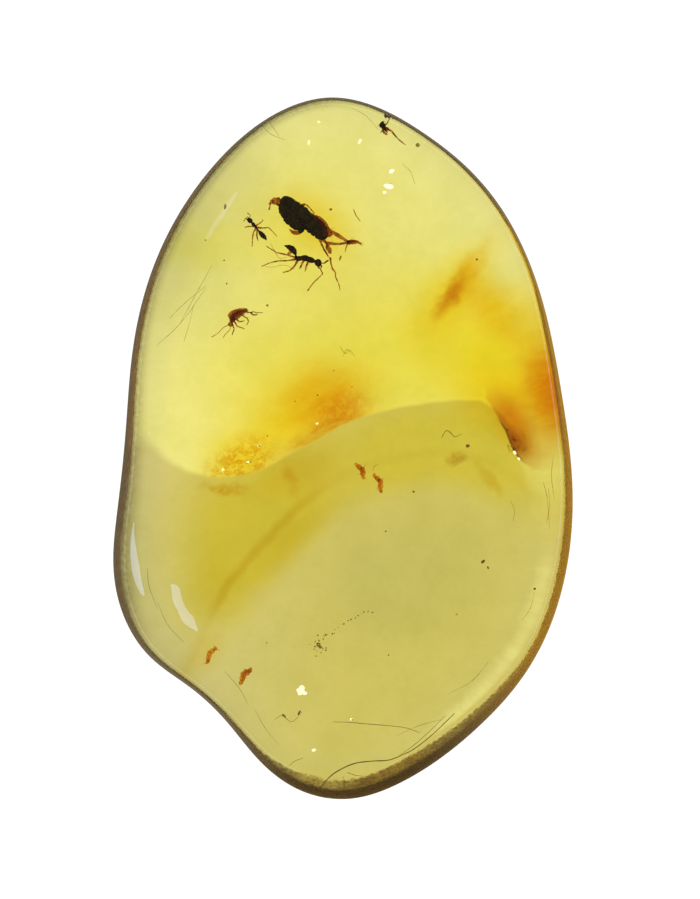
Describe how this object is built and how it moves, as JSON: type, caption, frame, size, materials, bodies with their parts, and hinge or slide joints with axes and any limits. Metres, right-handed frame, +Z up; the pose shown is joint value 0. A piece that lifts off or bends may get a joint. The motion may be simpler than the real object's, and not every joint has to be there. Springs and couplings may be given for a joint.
{
  "type": "insect in amber",
  "caption": "Polished freeform pebble of clear yellow amber with a beetle, ants, a barklouse and a gnat sealed inside, for display or study.",
  "frame": {"origin": "under the middle of the pebble's box, on the surface it lies on", "axes": "+Y along the pebble towards its narrow end, +X across it, +Z up through the polished dome"},
  "size_m": [0.03, 0.0456, 0.01],
  "materials": {
    "clear_amber": "polished, see-through",
    "chitin_black": "satin",
    "chitin_brown": "satin",
    "chitin_tan": "satin",
    "bark_red": "rough"
  },
  "bodies": {
    "root": {"amber_lower": "clear_amber", "amber_upper": "clear_amber", "beetle": "chitin_black", "gnat": "chitin_black", "ant": "chitin_brown", "small_ant": "chitin_brown", "barklouse": "chitin_tan", "bark_fleck_1": "bark_red", "bark_fleck_2": "bark_red", "bark_fleck_3": "bark_red", "bark_fleck_4": "bark_red"}
  },
  "joints": []
}
